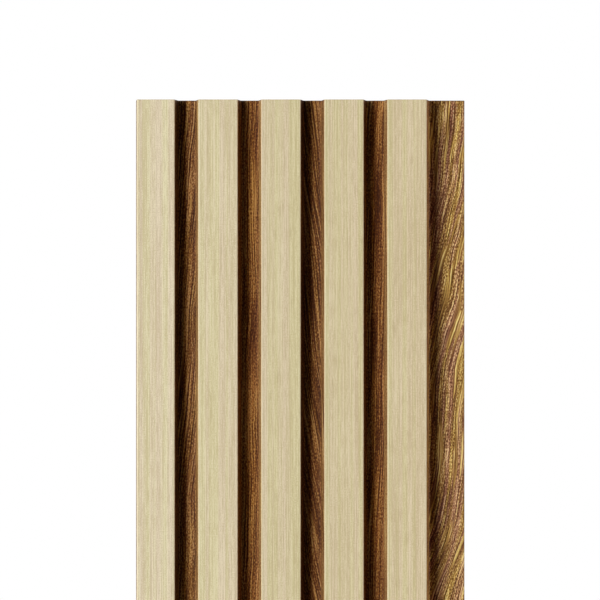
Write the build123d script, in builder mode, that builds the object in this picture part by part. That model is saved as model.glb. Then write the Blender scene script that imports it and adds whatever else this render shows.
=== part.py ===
import os

from build123d import *

os.makedirs("parts", exist_ok=True)

# Slat wall panel: one grooved board, lapped at its two long edges, with a pale strip on each slat.
# +Z runs up the panel, the slats face -Y and the flat back lies against the wall at Y = 0.
# The origin is the middle of the flat back.

# The panel as a whole
panel_length = 2700.0
board_thickness = 12.0  # from the wall to the face of a slat
web_thickness = 4.0  # board left behind the grooves, which runs on as the lip

# Slats and grooves
slat_count = 5
slat_pitch = 24.0
slat_width = 15.0  # across the face
groove_wall_lean = 1.2  # how much further out a groove wall stands at its foot
groove_foot_radius = 0.6
first_slat_trim = 0.6  # the face of the first slat stops this much short of its outer side

# Pale strip on the face of each slat
strip_thickness = 0.5
strip_edge_radius = 0.4

# Lap joint: the lip goes behind the first slat of the next panel
lap_width = 5.75
lap_side_clearance = 0.4
lap_depth_clearance = 0.3
lip_edge_radius = 0.6
rebate_edge_radius = 0.3

# Places along X, counted from the outer side of the first slat
cover_width = slat_count * slat_pitch
lip_end = cover_width + lap_width
back_start = lap_width + lap_side_clearance
back_middle = (back_start + lip_end) / 2

# Places along Y, from the wall towards the room
slat_face_y = -board_thickness
strip_seat_y = slat_face_y + strip_thickness
groove_floor_y = -web_thickness
rebate_y = groove_floor_y - lap_depth_clearance

foot_plane = Plane.XY.offset(-panel_length / 2)


def slat_side_left(number):
    trim = first_slat_trim if number == 0 else 0.0
    return number * slat_pitch + trim - back_middle


def slat_side_right(number):
    return number * slat_pitch + slat_width - back_middle


# Outline of the board, from its back edge at the rebate, over the slats and round the lip
board_outline = [
    (back_start - back_middle, 0.0),
    (back_start - back_middle, rebate_y),
    (-back_middle, rebate_y),
]
for number in range(slat_count):
    if number > 0:
        board_outline.append((slat_side_left(number) - groove_wall_lean, groove_floor_y))
    board_outline.append((slat_side_left(number), strip_seat_y))
    board_outline.append((slat_side_right(number), strip_seat_y))
    board_outline.append((slat_side_right(number) + groove_wall_lean, groove_floor_y))
board_outline.append((lip_end - back_middle, groove_floor_y))
board_outline.append((lip_end - back_middle, 0.0))

with BuildPart() as grooved_board:
    with BuildSketch(foot_plane) as board_section:
        with BuildLine():
            Polyline(*board_outline, close=True)
        make_face()
        outer_corner = board_section.vertices().sort_by(Axis.X)[0]
        fillet(outer_corner, rebate_edge_radius)
        floor_corners = board_section.vertices().filter_by_position(
            Axis.Y, groove_floor_y, groove_floor_y
        )
        groove_feet = floor_corners.sort_by(Axis.X)[:-1]
        fillet(groove_feet, groove_foot_radius)
        lip_edge = board_section.vertices().group_by(Axis.X)[-1].sort_by(Axis.Y)[0]
        fillet(lip_edge, lip_edge_radius)
    extrude(amount=panel_length)
grooved_board.part.label = "grooved_board"
export_step(grooved_board.part, "parts/grooved_board.step")

# Face strips, as long as the board and as wide as the slat that each one covers
for number in range(slat_count):
    strip_left = slat_side_left(number)
    strip_right = slat_side_right(number)
    strip_middle = ((strip_left + strip_right) / 2, (strip_seat_y + slat_face_y) / 2)
    with BuildPart() as face_strip:
        with BuildSketch(foot_plane) as strip_section:
            with Locations(strip_middle):
                Rectangle(strip_right - strip_left, strip_thickness)
            front_corners = strip_section.vertices().group_by(Axis.Y)[0]
            fillet(front_corners, strip_edge_radius)
        extrude(amount=panel_length)
    strip_name = f"slat_face_{number + 1}"
    face_strip.part.label = strip_name
    export_step(face_strip.part, f"parts/{strip_name}.step")
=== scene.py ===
import math

import bpy
import numpy as np
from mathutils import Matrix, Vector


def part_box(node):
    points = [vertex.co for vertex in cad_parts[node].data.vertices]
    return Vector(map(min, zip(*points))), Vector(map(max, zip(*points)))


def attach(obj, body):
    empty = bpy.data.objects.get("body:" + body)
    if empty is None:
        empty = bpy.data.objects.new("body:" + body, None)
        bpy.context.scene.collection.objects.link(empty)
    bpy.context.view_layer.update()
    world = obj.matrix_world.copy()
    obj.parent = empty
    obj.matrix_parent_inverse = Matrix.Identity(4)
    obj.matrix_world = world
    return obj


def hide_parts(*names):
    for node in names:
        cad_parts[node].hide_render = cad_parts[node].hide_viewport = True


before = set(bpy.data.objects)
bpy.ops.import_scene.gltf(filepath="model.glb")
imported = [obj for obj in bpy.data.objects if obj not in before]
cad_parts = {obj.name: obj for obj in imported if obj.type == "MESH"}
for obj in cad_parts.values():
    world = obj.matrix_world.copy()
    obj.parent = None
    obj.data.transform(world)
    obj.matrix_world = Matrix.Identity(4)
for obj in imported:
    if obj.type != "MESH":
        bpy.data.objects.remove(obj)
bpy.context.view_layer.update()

mm = 0.001
print("frame loaded:", sorted(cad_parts))

# Small helpers


def linearColour(hexCode):
    # sRGB to linear: c / 12.92 below 0.04045, else ((c + 0.055) / 1.055) ^ 2.4
    srgb = np.array([int(hexCode[i:i + 2], 16) / 255 for i in (1, 3, 5)])
    linear = np.where(srgb <= 0.04045, srgb / 12.92, ((srgb + 0.055) / 1.055) ** 2.4)
    return (*linear.tolist(), 1.0)


def addNode(tree, kind, settings=None, links=None):
    # a setting goes to the node's own property of that name, or else to its input socket; a link
    # comes from a socket, or from the first output of a node
    node = tree.nodes.new(kind)
    for name, value in (settings or {}).items():
        if isinstance(name, str) and hasattr(node, name):
            setattr(node, name, value)
        else:
            node.inputs[name].default_value = value
    for name, source in (links or {}).items():
        socket = source.outputs[0] if isinstance(source, bpy.types.Node) else source
        tree.links.new(socket, node.inputs[name])
    return node


def newMaterial(name):
    material = bpy.data.materials.new(name)
    material.use_nodes = True
    tree = material.node_tree
    tree.nodes.clear()
    shader = addNode(tree, "ShaderNodeBsdfPrincipled")
    addNode(tree, "ShaderNodeOutputMaterial", links={"Surface": shader})
    return material, tree, shader


def setRamp(node, stops):
    # stops are (place, hex colour) from low to high
    elements = node.color_ramp.elements
    while len(elements) < len(stops):
        elements.new(0.5)
    for element, (place, hexCode) in zip(elements, stops):
        element.position = place
        element.color = linearColour(hexCode)


# Panel: what the board and the strips share, worked out from the frame's boxes
boardLow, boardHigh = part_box("grooved_board")
stripNodes = sorted(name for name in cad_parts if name.startswith("slat_face"))
stripBoxes = [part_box(name) for name in stripNodes]
panel = {
    "half": boardHigh.z,  # half the length
    "seat": boardLow.y,  # where the strips lie on the slats
    "sawnEase": 0.12 * mm,  # the arris that the saw leaves
    "endShadeReach": 0.35 * mm,  # how far in from a sawn end the film carries painted shade
    "arcSteps": 6,
    "sectionStep": 0.5 * mm,
    "sharpAngle": 40,
    "rowsPerBand": 8,  # rows of faces in one band of the baked picture
    "backShare": 0.2,  # width of an unseen millimetre in that picture, against a seen one
    "bakeMargin": 0.008,  # share of a band that stays free at each side
    "bakeCapStrip": 0.03,  # height of the strip of that picture that holds the end faces
    "bakeCap": {"left": 0.02, "width": 0.46, "foot": 0.1, "height": 0.8, "next": 0.5},
    "tolerance": 1e-6,
}

# Sections and the pieces carried along them


def roundedSection(corners, radii, step):
    # the outline runs into corner C along the unit direction a and turns by t: the arc of radius r
    # starts at C - a r tan(t/2), its centre is r to the inner side, its points centre + r (cos, sin)
    corners = np.array(corners)
    radii = np.array(radii)
    ahead = np.roll(corners, -1, axis=0) - corners
    outDir = ahead / np.linalg.norm(ahead, axis=1)[:, None]
    inDir = np.roll(outDir, 1, axis=0)
    turn = np.arctan2(
        inDir[:, 0] * outDir[:, 1] - inDir[:, 1] * outDir[:, 0],
        (inDir * outDir).sum(axis=1),
    )
    cut = radii * np.tan(np.abs(turn) / 2)
    arcStart = corners - inDir * cut[:, None]
    arcEnd = corners + outDir * cut[:, None]
    runs = []
    for i in range(len(corners)):
        if radii[i] > 0:
            side = math.copysign(1, turn[i])
            inward = side * np.array([-inDir[i, 1], inDir[i, 0]])
            centre = arcStart[i] + radii[i] * inward
            begin = math.atan2(*(arcStart[i] - centre)[::-1])
            angles = begin + np.linspace(0, turn[i], panel["arcSteps"] + 1)[:-1]
            runs.append(centre + radii[i] * np.stack([np.cos(angles), np.sin(angles)], axis=1))
        nextStart = arcStart[(i + 1) % len(corners)]
        count = max(1, round(np.linalg.norm(nextStart - arcEnd[i]) / step))
        share = np.linspace(0, 1, count + 1)[:-1, None]
        runs.append(arcEnd[i] + share * (nextStart - arcEnd[i]))
    return np.concatenate(runs)


def sectionMeasures(points, arrises):
    # s is the length walked along the section; the arris distance is the least |s - s of an arris|
    lengths = np.linalg.norm(np.roll(points, -1, axis=0) - points, axis=1)
    walked = np.concatenate([[0], np.cumsum(lengths)])
    at = [walked[np.argmin(np.linalg.norm(points - arris, axis=1))] for arris in arrises]
    distance = np.abs(walked[:-1, None] - np.array(at)[None, :]).min(axis=1)
    tangent = np.roll(points, -1, axis=0) - np.roll(points, 1, axis=0)
    tangent /= np.linalg.norm(tangent, axis=1)[:, None]
    outward = np.stack([tangent[:, 1], -tangent[:, 0]], axis=1)
    return walked, distance, outward


def filmPlaces(points, walked, z, corner):
    # u is the way across the unrolled section and v the way along the length, both in metres
    across = np.stack([walked[j] for _, j in corner], axis=-1)
    along = np.stack([z[i] for i, _ in corner], axis=-1)
    sides = np.stack([across.ravel(), along.ravel()], axis=1)
    return np.concatenate([sides, points[::-1], points])


def bakePlaces(points, walked, isCore, bands, corner):
    # the length is cut into bands that lie side by side, over a strip for the end faces:
    # u = (band + share of the way round) / bands and v = share of the way along the band
    weight = np.where(isCore, panel["backShare"], 1.0) * np.diff(walked)
    place = np.concatenate([[0], np.cumsum(weight)]) / weight.sum()
    margin = panel["bakeMargin"]
    endMargin = margin / 4
    capStrip = panel["bakeCapStrip"]
    rowsPerBand = panel["rowsPerBand"]
    last = bands * rowsPerBand
    band = np.clip(corner[0][0] - 1, 0, last - 1) // rowsPerBand
    u = np.stack([(band + margin + place[j] * (1 - 2 * margin)) / bands for _, j in corner], axis=-1)
    level = np.stack([np.clip(i - 1, 0, last) / rowsPerBand - band for i, _ in corner], axis=-1)
    v = capStrip + endMargin + level * (1 - capStrip - 2 * endMargin)
    low, high = points.min(axis=0), points.max(axis=0)
    unit = (points - low) / (high - low)
    cap = panel["bakeCap"]
    capU = unit[:, 0] * cap["width"] + cap["left"]
    capV = (unit[:, 1] * cap["height"] + cap["foot"]) * capStrip
    foot = np.stack([capU, capV], axis=1)[::-1]
    top = np.stack([capU + cap["next"], capV], axis=1)
    return np.concatenate([np.stack([u.ravel(), v.ravel()], axis=1), foot, top])


def carriedPiece(name, points, arrises, isCore, bands, grainOffset, materials, extra=None):
    # P(s, z) = (x(s), y(s), z) - inset(z) n(s), where inset is 0 but at the two sawn ends
    walked, arrisDistance, outward = sectionMeasures(points, arrises)
    columns = len(points)
    ease = panel["sawnEase"]
    half = panel["half"]
    inner = np.linspace(-half + ease, half - ease, bands * panel["rowsPerBand"] + 1)
    z = np.concatenate([[-half], inner, [half]])
    inset = np.where(np.abs(z) > half - ease / 2, ease, 0.0)
    rows = len(z)
    grid = np.zeros((rows, columns, 3))
    grid[:, :, :2] = points[None] - inset[:, None, None] * outward[None]
    grid[:, :, 2] = z[:, None]

    row, column = np.meshgrid(np.arange(rows - 1), np.arange(columns), indexing="ij")
    corner = [(row, column), (row, column + 1), (row + 1, column + 1), (row + 1, column)]
    quads = np.stack([i * columns + j % columns for i, j in corner], axis=-1).reshape(-1, 4)
    rim = np.arange(columns)
    loops = np.concatenate([quads.ravel(), rim[::-1], (rows - 1) * columns + rim])
    sizes = np.concatenate([np.full(len(quads), 4), [columns, columns]])
    starts = np.concatenate([[0], np.cumsum(sizes)[:-1]])

    mesh = bpy.data.meshes.new(name)
    mesh.vertices.add(rows * columns)
    mesh.vertices.foreach_set("co", grid.astype(np.float32).ravel())
    mesh.loops.add(len(loops))
    mesh.loops.foreach_set("vertex_index", loops.astype(np.int32))
    mesh.polygons.add(len(sizes))
    mesh.polygons.foreach_set("loop_start", starts.astype(np.int32))
    mesh.update(calc_edges=True)

    # the second material, where there is one, is the core on the bare back and the two ends
    for material in materials:
        mesh.materials.append(material)
    bare = np.concatenate([np.tile(isCore, rows - 1), [True, True]])
    mesh.polygons.foreach_set("material_index", bare.astype(np.int32) * (len(materials) - 1))
    mesh.polygons.foreach_set("use_smooth", np.ones(len(sizes), bool))
    mesh.set_sharp_from_angle(angle=math.radians(panel["sharpAngle"]))

    maps = {
        "film": filmPlaces(points, walked, z, corner) + np.array(grainOffset),
        "OFBake": bakePlaces(points, walked, isCore, bands, corner),
    }
    for title, places in maps.items():
        mesh.uv_layers.new(name=title).data.foreach_set("uv", places.astype(np.float32).ravel())
    for title, values in {"arrisDistance": arrisDistance, **(extra or {})}.items():
        attribute = mesh.attributes.new(title, "FLOAT", "POINT")
        attribute.data.foreach_set("value", np.tile(values, rows).astype(np.float32))
    mesh.validate()
    piece = bpy.data.objects.new(name, mesh)
    bpy.context.scene.collection.objects.link(piece)
    print(f"{name}: {len(sizes)} faces, section {walked[-1] / mm:.1f} mm round")
    return piece


# Materials
seedShift = (17.3, 5.9)  # how far apart two layers of marks lie in the noise


def markLayer(tree, place, width, length, detail, seed):
    # noise stretched to marks of that width and length in mm, and centred on 0
    stretched = addNode(
        tree,
        "ShaderNodeMapping",
        {
            "Scale": (1 / width, 1 / length, 1),
            "Location": (seedShift[0] * seed, seedShift[1] * seed, 0),
        },
        {"Vector": place},
    )
    noise = addNode(
        tree,
        "ShaderNodeTexNoise",
        {"noise_dimensions": "2D", "Scale": 1.0, "Detail": detail},
        {"Vector": stretched},
    )
    centred = addNode(
        tree, "ShaderNodeMath", {"operation": "SUBTRACT", 1: 0.5}, {0: noise.outputs["Fac"]}
    )
    return centred.outputs[0]


def paintedEndShade(tree, colour, hexCode, share):
    # painted shade: the film is darkened over the last third of a millimetre before each end of the panel
    place = addNode(tree, "ShaderNodeTexCoord")
    sides = addNode(tree, "ShaderNodeSeparateXYZ", links={"Vector": place.outputs["Object"]})
    height = addNode(tree, "ShaderNodeMath", {"operation": "ABSOLUTE"}, {0: sides.outputs["Z"]})
    endShadeShare = addNode(
        tree,
        "ShaderNodeMapRange",
        {
            "From Min": panel["half"] - panel["endShadeReach"],
            "From Max": panel["half"] - panel["sawnEase"],
            "To Max": share,
        },
        {"Value": height},
    )
    edged = addNode(
        tree, "ShaderNodeMix", {"data_type": "RGBA", 7: linearColour(hexCode)}, {0: endShadeShare, 6: colour}
    )
    return edged.outputs[2]


# Walnut-print PVC film, heat-laminated and embossed with a fine grain. It gives leaning year rings
# in gold and plum brown with a dark edge each, thin broken golden veins, smooth golden lenses
# among fine flecks on the lip, where the figure swings over here and there, long threads in the
# grooves, and a satin glint. The dots of such a print are about a tenth of a millimetre: flecks,
# streaks and threads are drawn as wide as they need to show.
walnutLook = {
    # height, length, how far over to the right on the way up, and how far to the next one, in mm
    "swings": [(1276, 120, 18, 236), (1170, 42, 10, 310)],
    "warps": {  # width and length of a bend in mm, and how far it carries a ring
        "meander": (60, 130, 12),
        "bend": (16, 44, 6),
        "wave": (5, 14, 0.8),
        "zigzag": (1.2, 2.4, 0.28),
    },
    "warpDetail": 1.0,
    "ring": {  # in mm; a ring's own tone lies in the spread round the middle, and rises across it
        "width": 1.2,
        "swell": (6, 160, 2.4),
        "rise": (-0.1, 0.1),
        "spread": 0.09,
        "middle": 0.465,
    },
    "layers": {  # width and length of a mark in mm, detail
        "band": (3.5, 90, 1.0),
        "hue": (2.3, 50, 1.0),
        "gold": (1.2, 26, 0.5),
        "breaks": (0.9, 9, 1.0),
        "streak": (0.42, 18, 1.0),
        "fleck": (0.36, 0.8, 0.3),
        "lens": (2.3, 24, 0.0),
        "thread": (0.44, 40, 1.0),
    },
    "gains": {"band": 0.06, "breaks": 0.12},
    "unbroken": (-0.2, 0.02),  # noise at which a line is gone, and at which it is whole
    "ringEdge": (0.2, -0.38),  # share of the ring, and tone
    "vein": (0.08, 0.35),  # half width in noise, and tone
    # what the figure's reach adds to the lens noise, where a lens begins and is full, its tone,
    # and the half width and tone of its rim
    "lens": {"reach": 0.3, "from": 0.39, "full": 0.45, "tone": 0.07, "rim": 0.035, "rimTone": -0.2},
    "middleTone": 0.47,
    "lineGains": {"streak": 1.4, "thread": 1.85},
    "calm": (1.0, 0.6),  # reach at which streaks begin to turn to threads, and have turned
    "fleckGains": (1.1, 0.2),  # outside a lens and inside it
    # what a ring and a lens add to the hue noise, where it is all plum and all ochre, and the even
    # mix that the grooves keep near
    "hue": {"ring": 0.12, "lens": 0.15, "plum": -0.06, "ochre": 0.18, "even": 0.5},
    "ramps": {
        "plum": [
            (0.05, "#4a2614"), (0.32, "#693f2a"), (0.55, "#8b5c43"), (0.75, "#b3845c"), (0.95, "#dcb788"),
        ],
        "ochre": [
            (0.05, "#4f310f"), (0.32, "#744f1f"), (0.55, "#9c7539"), (0.75, "#c29f51"), (0.95, "#e4ca80"),
        ],
    },
    # multiply colours for the painted shade and the painted warm light in the grooves and on the lip
    "grooveTints": {"groovePaintedShade": "#a0a0b4", "groovePaintedWarmth": "#ffdeb4"},
    "endShade": ("#2a1609", 0.85),  # colour of the painted shade at the sawn ends, and its share
    "relief": {"Strength": 0.5, "Distance": 0.1 * mm},
    # a pale fleck is smoother than a dark one
    "gloss": {"From Min": -0.2, "From Max": 0.2, "To Min": 0.62, "To Max": 0.48},
    "ior": 1.5,
    "specular": 0.12,  # the embossing dulls the film
}


def bentPlace(tree, look):
    # lean: across = x - lean * along
    # swing: across - over * swung * (floor(t) + smoothstep of fract(t) from 0 to length / repeat),
    # where t = (along - start of the swing) / repeat
    # bend: across + carry * reach * noise, so the calmer figure in the grooves bends less
    film = addNode(tree, "ShaderNodeUVMap", {"uv_map": "film"})
    place = addNode(tree, "ShaderNodeMapping", {"Scale": (1 / mm, 1 / mm, 1)}, {"Vector": film})
    sides = addNode(tree, "ShaderNodeSeparateXYZ", links={"Vector": place})
    along = sides.outputs["Y"]
    lean, swung, reach = [
        addNode(tree, "ShaderNodeAttribute", {"attribute_name": name}).outputs["Fac"]
        for name in ("figureLean", "figureSwing", "figureReach")
    ]
    leaned = addNode(tree, "ShaderNodeMath", {"operation": "MULTIPLY"}, {0: along, 1: lean})
    across = addNode(
        tree, "ShaderNodeMath", {"operation": "SUBTRACT"}, {0: sides.outputs["X"], 1: leaned}
    )
    for height, length, over, repeat in look["swings"]:
        counted = addNode(
            tree,
            "ShaderNodeMath",
            {"operation": "MULTIPLY_ADD", 1: 1 / repeat, 2: (length / 2 - height) / repeat},
            {0: along},
        )
        passed = addNode(tree, "ShaderNodeMath", {"operation": "FLOOR"}, {0: counted})
        within = addNode(tree, "ShaderNodeMath", {"operation": "FRACT"}, {0: counted})
        swing = addNode(
            tree,
            "ShaderNodeMapRange",
            {"interpolation_type": "SMOOTHSTEP", "From Max": length / repeat},
            {"Value": within},
        )
        steps = addNode(tree, "ShaderNodeMath", {"operation": "ADD"}, {0: passed, 1: swing})
        shift = addNode(tree, "ShaderNodeMath", {"operation": "MULTIPLY", 1: -over}, {0: steps})
        across = addNode(
            tree, "ShaderNodeMath", {"operation": "MULTIPLY_ADD"}, {0: swung, 1: shift, 2: across}
        )
    for seed, (width, length, carry) in enumerate(look["warps"].values()):
        here = addNode(tree, "ShaderNodeCombineXYZ", links={"X": across, "Y": along})
        bend = markLayer(tree, here, width, length, look["warpDetail"], seed)
        carried = addNode(tree, "ShaderNodeMath", {"operation": "MULTIPLY", 1: carry}, {0: bend})
        across = addNode(
            tree, "ShaderNodeMath", {"operation": "MULTIPLY_ADD"}, {0: carried, 1: reach, 2: across}
        )
    return across, along, reach


def walnutFilm():
    look = walnutLook
    material, tree, shader = newMaterial("walnut_print_film_embossed")
    across, along, reach = bentPlace(tree, look)
    grain = addNode(tree, "ShaderNodeCombineXYZ", links={"X": across, "Y": along})
    swellSeed = len(look["warps"])
    layer = {}
    for seed, (name, size) in enumerate(look["layers"].items(), start=swellSeed + 1):
        layer[name] = markLayer(tree, grain, *size, seed)

    # phase = across / ring width + swell; the ring's number is its floor and the place in the ring
    # its fraction, from the dark edge at 0 to the golden side at 1
    ring = look["ring"]
    swellWidth, swellLength, swellBy = ring["swell"]
    swell = markLayer(tree, grain, swellWidth, swellLength, look["warpDetail"], swellSeed)
    counted = addNode(tree, "ShaderNodeMath", {"operation": "DIVIDE", 1: ring["width"]}, {0: across})
    phase = addNode(
        tree, "ShaderNodeMath", {"operation": "MULTIPLY_ADD", 1: swellBy}, {0: swell, 2: counted}
    )
    ringNumber = addNode(tree, "ShaderNodeMath", {"operation": "FLOOR"}, {0: phase})
    inRing = addNode(tree, "ShaderNodeMath", {"operation": "FRACT"}, {0: phase})
    chance = addNode(tree, "ShaderNodeTexWhiteNoise", {"noise_dimensions": "1D"}, {"W": ringNumber})
    low, high = ring["middle"] - ring["spread"] / 2, ring["middle"] + ring["spread"] / 2
    own = addNode(tree, "ShaderNodeMapRange", {"To Min": low, "To Max": high}, {"Value": chance})
    low, high = ring["rise"]
    rise = addNode(tree, "ShaderNodeMapRange", {"To Min": low, "To Max": high}, {"Value": inRing})
    base = addNode(tree, "ShaderNodeAttribute", {"attribute_name": "figureTone"}).outputs["Fac"]
    tone = addNode(tree, "ShaderNodeMath", {"operation": "ADD"}, {0: own, 1: rise})
    tone = addNode(tree, "ShaderNodeMath", {"operation": "ADD"}, {0: tone, 1: base})
    for name, gain in look["gains"].items():
        tone = addNode(
            tree, "ShaderNodeMath", {"operation": "MULTIPLY_ADD", 1: gain}, {0: layer[name], 2: tone}
        )

    # the dark ring edges, the golden veins and the rims of the lenses are broken by the same noise
    gone, whole = look["unbroken"]
    unbroken = addNode(
        tree, "ShaderNodeMapRange", {"From Min": gone, "From Max": whole}, {"Value": layer["breaks"]}
    )
    lens = look["lens"]
    lensNoise = addNode(
        tree,
        "ShaderNodeMath",
        {"operation": "MULTIPLY_ADD", 1: lens["reach"]},
        {0: reach, 2: layer["lens"]},
    )
    offRim = addNode(tree, "ShaderNodeMath", {"operation": "SUBTRACT", 1: lens["from"]}, {0: lensNoise})
    fromRim = addNode(tree, "ShaderNodeMath", {"operation": "ABSOLUTE"}, {0: offRim})
    fromVein = addNode(tree, "ShaderNodeMath", {"operation": "ABSOLUTE"}, {0: layer["gold"]})
    lines = [
        (inRing, *look["ringEdge"]),
        (fromVein, *look["vein"]),
        (fromRim, lens["rim"], lens["rimTone"]),
    ]
    for source, halfWidth, strength in lines:
        line = addNode(
            tree,
            "ShaderNodeMapRange",
            {
                "interpolation_type": "SMOOTHSTEP",
                "From Max": halfWidth,
                "To Min": strength,
                "To Max": 0.0,
            },
            {"Value": source},
        )
        tone = addNode(
            tree, "ShaderNodeMath", {"operation": "MULTIPLY_ADD"}, {0: line, 1: unbroken, 2: tone}
        )

    # in the grooves the figure is calmer: its tone stays nearer to the middle, and the short
    # streaks turn to long threads
    tone = addNode(
        tree, "ShaderNodeMix", {"data_type": "FLOAT", 2: look["middleTone"]}, {0: reach, 3: tone}
    )
    lively, calmed = look["calm"]
    calm = addNode(
        tree, "ShaderNodeMapRange", {"From Min": lively, "From Max": calmed}, {"Value": reach}
    )
    short, long = [
        addNode(tree, "ShaderNodeMath", {"operation": "MULTIPLY", 1: gain}, {0: layer[name]})
        for name, gain in look["lineGains"].items()
    ]
    streaks = addNode(tree, "ShaderNodeMix", {"data_type": "FLOAT"}, {0: calm, 2: short, 3: long})
    tone = addNode(tree, "ShaderNodeMath", {"operation": "ADD"}, {0: tone, 1: streaks})

    # a lens is a smooth golden patch: the flecks fade out in it and its tone is raised
    inLens = addNode(
        tree,
        "ShaderNodeMapRange",
        {"interpolation_type": "SMOOTHSTEP", "From Min": lens["from"], "From Max": lens["full"]},
        {"Value": lensNoise},
    )
    outside, inside = look["fleckGains"]
    fleckGain = addNode(
        tree, "ShaderNodeMapRange", {"To Min": outside, "To Max": inside}, {"Value": inLens}
    )
    tone = addNode(
        tree,
        "ShaderNodeMath",
        {"operation": "MULTIPLY_ADD"},
        {0: layer["fleck"], 1: fleckGain, 2: tone},
    )
    tone = addNode(
        tree, "ShaderNodeMath", {"operation": "MULTIPLY_ADD", 1: lens["tone"]}, {0: inLens, 2: tone}
    )

    # share of ochre = even + reach^2 * (the noise's share - even), so a groove is nearly of one hue
    hue = look["hue"]
    hueNoise = addNode(
        tree,
        "ShaderNodeMath",
        {"operation": "MULTIPLY_ADD", 1: hue["ring"]},
        {0: chance, 2: layer["hue"]},
    )
    hueNoise = addNode(
        tree, "ShaderNodeMath", {"operation": "MULTIPLY_ADD", 1: hue["lens"]}, {0: inLens, 2: hueNoise}
    )
    ochreShare = addNode(
        tree,
        "ShaderNodeMapRange",
        {"From Min": hue["plum"], "From Max": hue["ochre"]},
        {"Value": hueNoise},
    )
    hueReach = addNode(tree, "ShaderNodeMath", {"operation": "MULTIPLY"}, {0: reach, 1: reach})
    share = addNode(
        tree, "ShaderNodeMix", {"data_type": "FLOAT", 2: hue["even"]}, {0: hueReach, 3: ochreShare}
    )
    ramps = {}
    for name, stops in look["ramps"].items():
        ramps[name] = addNode(tree, "ShaderNodeValToRGB", links={"Fac": tone})
        setRamp(ramps[name], stops)
    coloured = addNode(
        tree,
        "ShaderNodeMix",
        {"data_type": "RGBA"},
        {0: share, 6: ramps["plum"], 7: ramps["ochre"]},
    )

    # across a groove the colour is multiplied by painted shade, dark and grey, then by a painted warm
    # colour of the light, then by painted shade again before the next slat
    printed = coloured.outputs[2]
    for name, hexCode in look["grooveTints"].items():
        part = addNode(tree, "ShaderNodeAttribute", {"attribute_name": name}).outputs["Fac"]
        printed = addNode(
            tree,
            "ShaderNodeMix",
            {"data_type": "RGBA", "blend_type": "MULTIPLY", 7: linearColour(hexCode)},
            {0: part, 6: printed},
        ).outputs[2]
    relief = addNode(tree, "ShaderNodeBump", look["relief"], {"Height": tone})
    gloss = addNode(tree, "ShaderNodeMapRange", look["gloss"], {"Value": layer["fleck"]})
    tree.links.new(paintedEndShade(tree, printed, *look["endShade"]), shader.inputs["Base Color"])
    tree.links.new(relief.outputs["Normal"], shader.inputs["Normal"])
    tree.links.new(gloss.outputs[0], shader.inputs["Roughness"])
    shader.inputs["IOR"].default_value = look["ior"]
    shader.inputs["Specular IOR Level"].default_value = look["specular"]
    return material


# Oak-print film with a matt lacquer, calendered. It gives a straight fine grain in fawn, straw and cream,
# with short faint pores and a paler line along the arrises, which is a painted highlight. The real pores
# are about a tenth of a millimetre wide, and the finest marks are drawn at 0.3 mm so that they show.
oakLook = {
    "paintedFalloff": ["#fbfbfe", "#f6f5f3", "#f1efea", "#f0ede7", "#f1eee7"],  # painted falloff of the light from the left: brightest on the first strip, darker to the right
    "layers": {  # width and length of a mark in mm, detail
        "streak": (0.36, 54, 2.0),
        "hue": (2.2, 560, 0.7),
        "cloud": (6, 900, 1.0),
        "thread": (0.3, 5, 1.0),
        "grit": (0.3, 0.5, 0.5),
        "hairline": (1.1, 130, 0.6),
        "breaks": (0.8, 45, 1.0),
        "pore": (0.3, 9, 1.0),
    },
    "gains": {"streak": 2.45, "cloud": 0.8, "thread": 1.3, "grit": 1.4},
    "middleTone": 0.5,
    "hairline": (0.035, -0.4),  # half width in noise, and tone
    "unbroken": (-0.05, 0.1),  # noise at which a hairline is gone, and at which it is whole
    "hueSpread": 0.15,  # noise either way over which straw turns to fawn
    "ramps": {
        "straw": [(0.1, "#c4b78a"), (0.5, "#cfc499"), (0.9, "#dbd2aa")],
        "fawn": [(0.1, "#c6b492"), (0.5, "#d2c2a2"), (0.9, "#ded0b2")],
    },
    "pores": {"From Min": 0.12, "From Max": 0.24, "To Max": 0.35},  # noise, and share of the pores' colour
    "poreColour": "#a58d66",
    # metres from an arris, and there the share of the painted highlight's colour
    "edgeHighlight": {"From Min": 0.15 * mm, "From Max": 0.55 * mm, "To Min": 0.25, "To Max": 0.0},
    "edgeHighlightColour": "#e8d6b6",
    "endShade": ("#8f7a55", 0.2),  # colour of the painted shade at the sawn ends, and its share
    "relief": {"Strength": 0.25, "Distance": 0.05 * mm},
    "roughness": 0.55,
    "ior": 1.5,
}


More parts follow.
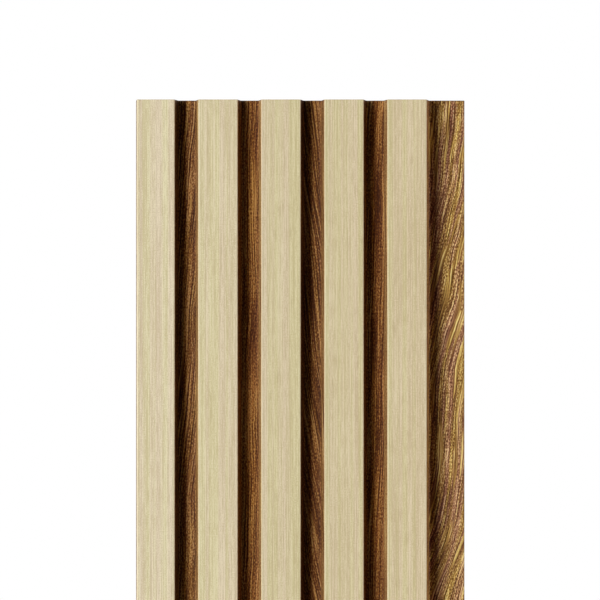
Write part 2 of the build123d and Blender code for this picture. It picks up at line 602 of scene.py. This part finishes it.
def oakFilm(number):
    # tone = middle + hairline's tone where |hairline| is under its half width + sum of gain * layer
    look = oakLook
    material, tree, shader = newMaterial(f"oak_print_film_matt_{number + 1}")
    film = addNode(tree, "ShaderNodeUVMap", {"uv_map": "film"})
    place = addNode(tree, "ShaderNodeMapping", {"Scale": (1 / mm, 1 / mm, 1)}, {"Vector": film})
    layer = {}
    for seed, (name, size) in enumerate(look["layers"].items()):
        layer[name] = markLayer(tree, place, *size, seed)

    fromHairline = addNode(tree, "ShaderNodeMath", {"operation": "ABSOLUTE"}, {0: layer["hairline"]})
    halfWidth, strength = look["hairline"]
    line = addNode(
        tree,
        "ShaderNodeMapRange",
        {"interpolation_type": "SMOOTHSTEP", "From Max": halfWidth, "To Min": strength, "To Max": 0.0},
        {"Value": fromHairline},
    )
    gone, whole = look["unbroken"]
    unbroken = addNode(
        tree, "ShaderNodeMapRange", {"From Min": gone, "From Max": whole}, {"Value": layer["breaks"]}
    )
    tone = addNode(
        tree,
        "ShaderNodeMath",
        {"operation": "MULTIPLY_ADD", 2: look["middleTone"]},
        {0: line, 1: unbroken},
    )
    for name, gain in look["gains"].items():
        tone = addNode(
            tree, "ShaderNodeMath", {"operation": "MULTIPLY_ADD", 1: gain}, {0: layer[name], 2: tone}
        )

    ramps = {}
    for name, stops in look["ramps"].items():
        ramps[name] = addNode(tree, "ShaderNodeValToRGB", links={"Fac": tone})
        setRamp(ramps[name], stops)
    fawnShare = addNode(
        tree,
        "ShaderNodeMapRange",
        {"From Min": -look["hueSpread"], "From Max": look["hueSpread"]},
        {"Value": layer["hue"]},
    )
    coloured = addNode(
        tree,
        "ShaderNodeMix",
        {"data_type": "RGBA"},
        {0: fawnShare, 6: ramps["straw"], 7: ramps["fawn"]},
    )
    pores = addNode(tree, "ShaderNodeMapRange", look["pores"], {"Value": layer["pore"]})
    pored = addNode(
        tree,
        "ShaderNodeMix",
        {"data_type": "RGBA", 7: linearColour(look["poreColour"])},
        {0: pores, 6: coloured.outputs[2]},
    )
    arris = addNode(tree, "ShaderNodeAttribute", {"attribute_name": "arrisDistance"}).outputs["Fac"]
    # painted highlight: a paler line along the arrises
    edgeHighlight = addNode(tree, "ShaderNodeMapRange", look["edgeHighlight"], {"Value": arris})
    highlighted = addNode(
        tree,
        "ShaderNodeMix",
        {"data_type": "RGBA", 7: linearColour(look["edgeHighlightColour"])},
        {0: edgeHighlight, 6: pored.outputs[2]},
    )
    # painted falloff of the light across the strips
    tinted = addNode(
        tree,
        "ShaderNodeMix",
        {"data_type": "RGBA", "blend_type": "MULTIPLY", 0: 1.0, 7: linearColour(look["paintedFalloff"][number])},
        {6: highlighted.outputs[2]},
    )
    relief = addNode(tree, "ShaderNodeBump", look["relief"], {"Height": layer["streak"]})
    tree.links.new(paintedEndShade(tree, tinted.outputs[2], *look["endShade"]), shader.inputs["Base Color"])
    tree.links.new(relief.outputs["Normal"], shader.inputs["Normal"])
    shader.inputs["Roughness"].default_value = look["roughness"]
    shader.inputs["IOR"].default_value = look["ior"]
    return material


# Extruded polystyrene foam, calibrated on the back and sawn at the ends. It gives a chalky cream
# with closed cells and faint lines along the draw.
foamLook = {
    "cell": 0.45 * mm,  # a real cell is about a third of a millimetre, and is drawn so that it shows
    "line": (2.2 * mm, 600 * mm),  # width and length
    "tones": [(0.3, "#cfc3a8"), (0.7, "#ddd3bd")],
    # share of a cell from its middle, and there the brightness
    "cellShade": {"From Max": 0.9, "To Min": 1.0, "To Max": 0.86},
    "relief": {"Strength": 0.5, "Distance": 0.1 * mm},
    "roughness": 0.85,
    "ior": 1.45,
}


def foamCore():
    look = foamLook
    material, tree, shader = newMaterial("polystyrene_foam_core_extruded")
    place = addNode(tree, "ShaderNodeTexCoord").outputs["Object"]
    cells = addNode(tree, "ShaderNodeTexVoronoi", {"Scale": 1 / look["cell"]}, {"Vector": place})
    width, length = look["line"]
    stretched = addNode(
        tree, "ShaderNodeMapping", {"Scale": (1 / width, 1 / width, 1 / length)}, {"Vector": place}
    )
    lines = addNode(
        tree, "ShaderNodeTexNoise", {"Scale": 1.0, "Detail": 2.0}, {"Vector": stretched}
    )
    colour = addNode(tree, "ShaderNodeValToRGB", links={"Fac": lines.outputs["Fac"]})
    setRamp(colour, look["tones"])
    distance = cells.outputs["Distance"]
    shade = addNode(tree, "ShaderNodeMapRange", look["cellShade"], {"Value": distance})
    toned = addNode(
        tree, "ShaderNodeVectorMath", {"operation": "SCALE"}, {0: colour, "Scale": shade.outputs[0]}
    )
    relief = addNode(tree, "ShaderNodeBump", look["relief"], {"Height": distance})
    tree.links.new(toned.outputs[0], shader.inputs["Base Color"])
    tree.links.new(relief.outputs["Normal"], shader.inputs["Normal"])
    shader.inputs["Roughness"].default_value = look["roughness"]
    shader.inputs["IOR"].default_value = look["ior"]
    return material


# Board: one section from the middle of the back round the rebate, the slats and the lip
board = {
    "web": 4.0 * mm,  # board left behind the grooves, and the thickness of the lip
    "rebate": 4.3 * mm,
    "wallLean": 1.2 * mm,
    "footRadius": 0.6 * mm,
    "lipRadius": 0.6 * mm,
    "outerRadius": 0.3 * mm,
    "backRadius": 0.2 * mm,  # film drawn round a back edge
    "wrap": 9.0 * mm,  # film that turns onto the back
    "outerLean": 0.6 * mm,  # the first slat's outer side stands this much out at its foot
    # the print on the outer side, in the four grooves and on the lip: how far it leans, its added
    # tone, how lively it is and whether it swings
    "figureLeans": [0.1, 0.08, 0.02, -0.16, 0.03, 0.061],
    "figureTones": [0, 0.02, 0.11, -0.15, -0.075, -0.01],
    "figureReaches": [1, 0.54, 0.47, 0.47, 0.4, 0.97],
    "figureSwings": [0, 0, 0, 0, 0, 1],
    # places across a groove, and there the shares of painted shade and of painted warm light, and the
    # painted light added where the groove's shadow ends
    "groovePaintedShade": (
        (0.12, 0.2, 0.25, 0.42, 0.6, 0.73, 0.82, 0.9, 0.95),
        (1, 0.77, 0.77, 0, 0.04, 0.5, 0.7, 0.12, 0),
    ),
    "groovePaintedWarmth": ((0.1, 0.2, 0.3, 0.45, 0.84, 0.92), (1, 0, 0, 1, 1, 0)),
    "groovePaintedLight": ((0.4, 0.48, 0.54, 0.62), (0, 0.14, 0.14, 0)),
    "grooveReach": 0.7,  # of a groove's width, either way from its middle, up onto its walls
    "shadeDarks": [1, 0.66, 0.8, 0.5],  # share of the painted shade on each groove's left side
    "shadeTo": 0.42,  # of the way across
    "warmths": [0.7, 1, 0.8, 1],  # share of the painted warm colour of the light in each groove
    "darkFrom": 0.25,  # of the depth, from which the painted shade is whole
    "outerPaintedShade": 0.5,  # share of painted shade on the first slat's outer side
    # metres across the lip, and there the shares of painted shade and of painted warm light in the last
    # slat's shadow, and the added tone that makes the lip brighter towards its far edge
    "lipPaintedShade": ((3.2 * mm, 3.7 * mm, 5.8 * mm, 9.0 * mm), (0, 0.41, 0.38, 0)),
    "lipPaintedWarmth": ((2.8 * mm, 5.4 * mm, 7.4 * mm), (0.75, 0.5, 0)),
    "lipLift": ((10.8 * mm, 13.0 * mm), (0, 0.08)),
    "bands": 2,  # of the baked picture
}


def buildBoard(materials):
    slats = [(low.x, high.x) for low, high in stripBoxes]
    backEnd = boardHigh.x
    outerSide = slats[0][0] - board["outerLean"]
    floorY = -board["web"]
    corners = [
        (0, 0, 0),
        (-backEnd + board["wrap"], 0, 0),
        (-backEnd, 0, board["backRadius"]),
        (-backEnd, -board["rebate"], 0),
        (outerSide, -board["rebate"], board["outerRadius"]),
    ]
    for number, (left, right) in enumerate(slats):
        if number > 0:
            corners.append((left - board["wallLean"], floorY, board["footRadius"]))
        corners.append((left, panel["seat"], 0))
        corners.append((right, panel["seat"], 0))
        corners.append((right + board["wallLean"], floorY, board["footRadius"]))
    corners += [
        (backEnd, floorY, board["lipRadius"]),
        (backEnd, 0, board["backRadius"]),
        (backEnd - board["wrap"], 0, 0),
    ]
    outline = np.array(corners)
    points = roundedSection(outline[:, :2], outline[:, 2], panel["sectionStep"])
    middle = (points + np.roll(points, -1, axis=0)) / 2
    onBack = np.abs(middle[:, 1]) < panel["tolerance"]
    isCore = onBack & (np.abs(middle[:, 0]) < backEnd - board["wrap"])
    arrises = [(backEnd, floorY), (outerSide, -board["rebate"])]

    # place = way across the groove / its width, depth = (y - seat) / (floor - seat), and the share of
    # painted shade is the profile's at that place times the groove's own share and min(1, depth /
    # darkFrom)
    depth = np.clip((points[:, 1] - panel["seat"]) / (floorY - panel["seat"]), 0, 1)
    inFront = points[:, 1] < floorY / 2
    onLip = inFront & (points[:, 0] > slats[-1][1])
    fromSlat = points[:, 0] - slats[-1][1]
    # painted shade on the first slat's outer side and in the last slat's shadow on the lip, with that
    # shadow's painted warm colour, and the lip's added tone
    paintedShade = np.where(points[:, 0] < slats[0][0], board["outerPaintedShade"], 0)
    paintedShade = np.where(onLip, np.interp(fromSlat, *board["lipPaintedShade"]), paintedShade)
    paintedWarmth = np.where(onLip, np.interp(fromSlat, *board["lipPaintedWarmth"]), 0)
    lift = np.where(onLip, np.interp(fromSlat, *board["lipLift"]), 0)
    for number, (_, start) in enumerate(slats[:-1]):
        place = (points[:, 0] - start) / (slats[number + 1][0] - start)
        inside = inFront & (np.abs(place - 0.5) < board["grooveReach"])
        own = np.where(place < board["shadeTo"], board["shadeDarks"][number], 1)
        wall = own * np.minimum(1, depth / board["darkFrom"])
        paintedShade = np.where(inside, wall * np.interp(place, *board["groovePaintedShade"]), paintedShade)
        warmth = board["warmths"][number] * np.interp(place, *board["groovePaintedWarmth"])
        paintedWarmth = np.where(inside, warmth, paintedWarmth)
        # painted light that lifts the tone where the groove's shadow ends
        lift = np.where(inside, np.interp(place, *board["groovePaintedLight"]), lift)

    # the print changes behind the strips, at the middle of each slat
    region = np.searchsorted([(left + right) / 2 for left, right in slats], points[:, 0])
    extra = {
        "groovePaintedShade": paintedShade,
        "groovePaintedWarmth": paintedWarmth,
        "figureLean": np.array(board["figureLeans"])[region],
        "figureTone": np.array(board["figureTones"])[region] + lift,
        "figureReach": np.array(board["figureReaches"])[region],
        "figureSwing": np.array(board["figureSwings"])[region],
    }
    name = "grooved_board_film_wrapped"
    return carriedPiece(name, points, arrises, isCore, board["bands"], (0, 0), materials, extra)


# Strips: a flat band with its two front arrises rounded over
strip = {
    "cornerRadius": 0.4 * mm,
    "sectionStep": 0.25 * mm,
    "grainShift": (31.7 * mm, 913 * mm),  # how far on in the print the next strip begins
    "bands": 8,  # of the baked picture
}


def buildStrip(number, material):
    low, high = stripBoxes[number]
    middle = (low.x + high.x) / 2
    outline = np.array([
        (middle, high.y, 0),
        (low.x, high.y, 0),
        (low.x, low.y, strip["cornerRadius"]),
        (high.x, low.y, strip["cornerRadius"]),
        (high.x, high.y, 0),
    ])
    points = roundedSection(outline[:, :2], outline[:, 2], strip["sectionStep"])
    middleY = (points + np.roll(points, -1, axis=0))[:, 1] / 2
    isBack = np.abs(middleY - high.y) < panel["tolerance"]
    arrises = [(low.x, low.y), (high.x, low.y)]
    offset = [shift * number for shift in strip["grainShift"]]
    name = f"oak_strip_{number + 1}"
    return carriedPiece(name, points, arrises, isBack, strip["bands"], offset, [material])


walnut = walnutFilm()
core = foamCore()
boardPiece = buildBoard([walnut, core])
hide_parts("grooved_board")
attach(boardPiece, "root")
for number, node in enumerate(stripNodes):
    stripPiece = buildStrip(number, oakFilm(number))
    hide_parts(node)
    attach(stripPiece, "root")
print("pieces built")

# Stage: a pale painted floor under the panel's foot, which turns to plain white a little way off
stage = {
    "reach": 1.3,
    "near": 0.3,  # metres from the foot, where it begins to turn
    "far": 0.95,  # of the reach, where it is plain white
    "glow": 0.55,  # share of white near the foot
    "sides": 96,
    "colour": "#e9e8e6",
    "roughness": 0.9,
}


def buildFloor():
    # P(a) = reach (cos a, sin a), level with the foot of the panel
    turn = np.linspace(0, 2 * math.pi, stage["sides"], endpoint=False)
    rim = stage["reach"] * np.stack([np.cos(turn), np.sin(turn)], axis=1)
    corners = np.column_stack([rim, np.full(stage["sides"], -panel["half"])])
    mesh = bpy.data.meshes.new("floor")
    mesh.from_pydata(corners.tolist(), [], [list(range(stage["sides"]))])
    material, tree, shader = newMaterial("painted_floor_pale")
    shader.inputs["Base Color"].default_value = linearColour(stage["colour"])
    shader.inputs["Roughness"].default_value = stage["roughness"]

    # white share = smoothstep of the distance from the foot, where the camera, a mirror or a glass
    # sees the floor, and 0 for the light that falls on the panel
    place = addNode(tree, "ShaderNodeTexCoord").outputs["Object"]
    flat = addNode(tree, "ShaderNodeVectorMath", {"operation": "MULTIPLY", 1: (1, 1, 0)}, {0: place})
    radius = addNode(tree, "ShaderNodeVectorMath", {"operation": "LENGTH"}, {0: flat})
    share = addNode(
        tree,
        "ShaderNodeMapRange",
        {
            "interpolation_type": "SMOOTHSTEP",
            "From Min": stage["near"],
            "From Max": stage["reach"] * stage["far"],
            "To Min": stage["glow"],
            "To Max": 1.0,
        },
        {"Value": radius.outputs["Value"]},
    )
    path = addNode(tree, "ShaderNodeLightPath")
    seen = path.outputs["Is Camera Ray"]
    for kind in ("Is Glossy Ray", "Is Transmission Ray"):
        seen = addNode(
            tree, "ShaderNodeMath", {"operation": "MAXIMUM"}, {0: seen, 1: path.outputs[kind]}
        )
    shown = addNode(tree, "ShaderNodeMath", {"operation": "MULTIPLY"}, {0: share, 1: seen})
    white = addNode(tree, "ShaderNodeEmission", {"Strength": 1.0})
    mixed = addNode(tree, "ShaderNodeMixShader", links={0: shown, 1: shader, 2: white})
    output = next(node for node in tree.nodes if node.type == "OUTPUT_MATERIAL")
    tree.links.new(mixed.outputs[0], output.inputs["Surface"])
    mesh.materials.append(material)
    floor = bpy.data.objects.new("floor", mesh)
    # the key lamp stands so low that the floor would hide its lower half from the panel
    floor.visible_shadow = False
    bpy.context.scene.collection.objects.link(floor)


# Light: one soft low lamp from the left with a wide wing that lights the upper ends of the grooves,
# a board on the right that grazes the slat sides, a lamp behind that lays the panel's shadow on the
# floor, a dim room and a white backdrop
light = {
    "lamps": {  # degrees off the panel's normal to the left, degrees up, width in degrees, strength
        "key": (35.6, -1, 21, 3.39),
        "key_wing": (62, 30, 40, 1.04),
        "side_board": (-83, 0, 16, 1.4),
        "from_behind": (180, 55, 8, 1.2),
    },
    "room": 0.022,
    "backdrop": 0.75,
    # sine of the angle behind the panel at which the backdrop begins, and at which it is full
    "backdropEdge": (-0.05, 0.15),
}


def buildLight():
    for name, (side, rise, spread, strength) in light["lamps"].items():
        lamp = bpy.data.lights.new(name, "SUN")
        lamp.energy = strength
        lamp.angle = math.radians(spread)
        holder = bpy.data.objects.new(name, lamp)
        holder.rotation_euler = (math.radians(90 - rise), 0, -math.radians(side))
        bpy.context.scene.collection.objects.link(holder)

    world = bpy.data.worlds.new("studio")
    world.use_nodes = True
    tree = world.node_tree
    tree.nodes.clear()
    place = addNode(tree, "ShaderNodeTexCoord").outputs["Generated"]
    sides = addNode(tree, "ShaderNodeSeparateXYZ", links={"Vector": place})
    begins, full = light["backdropEdge"]
    behind = addNode(
        tree,
        "ShaderNodeMapRange",
        {
            "interpolation_type": "SMOOTHSTEP",
            "From Min": begins,
            "From Max": full,
            "To Min": light["room"],
            "To Max": light["backdrop"],
        },
        {"Value": sides.outputs["Y"]},
    )
    seen = addNode(tree, "ShaderNodeLightPath").outputs["Is Camera Ray"]
    strength = addNode(tree, "ShaderNodeMath", {"operation": "MAXIMUM"}, {0: behind, 1: seen})
    background = addNode(tree, "ShaderNodeBackground", links={"Strength": strength})
    background.inputs["Color"].default_value = (1, 1, 1, 1)
    addNode(tree, "ShaderNodeOutputWorld", links={"Surface": background})
    bpy.context.scene.world = world


# Camera: straight in front of the panel's upper end
camera = {"place": (-0.0032, -1.375, 1.27364), "lens": 214.8, "sensor": 36.0, "clip": (0.01, 100)}


def buildCamera():
    data = bpy.data.cameras.new("camera")
    data.lens = camera["lens"]
    data.sensor_width = camera["sensor"]
    data.clip_start, data.clip_end = camera["clip"]
    eye = bpy.data.objects.new("camera", data)
    eye.location = camera["place"]
    eye.rotation_euler = (math.radians(90), 0, 0)
    bpy.context.scene.collection.objects.link(eye)
    bpy.context.scene.camera = eye


buildFloor()
buildLight()
buildCamera()
bpy.context.scene.view_settings.view_transform = "Standard"
print("floor, light and camera set")
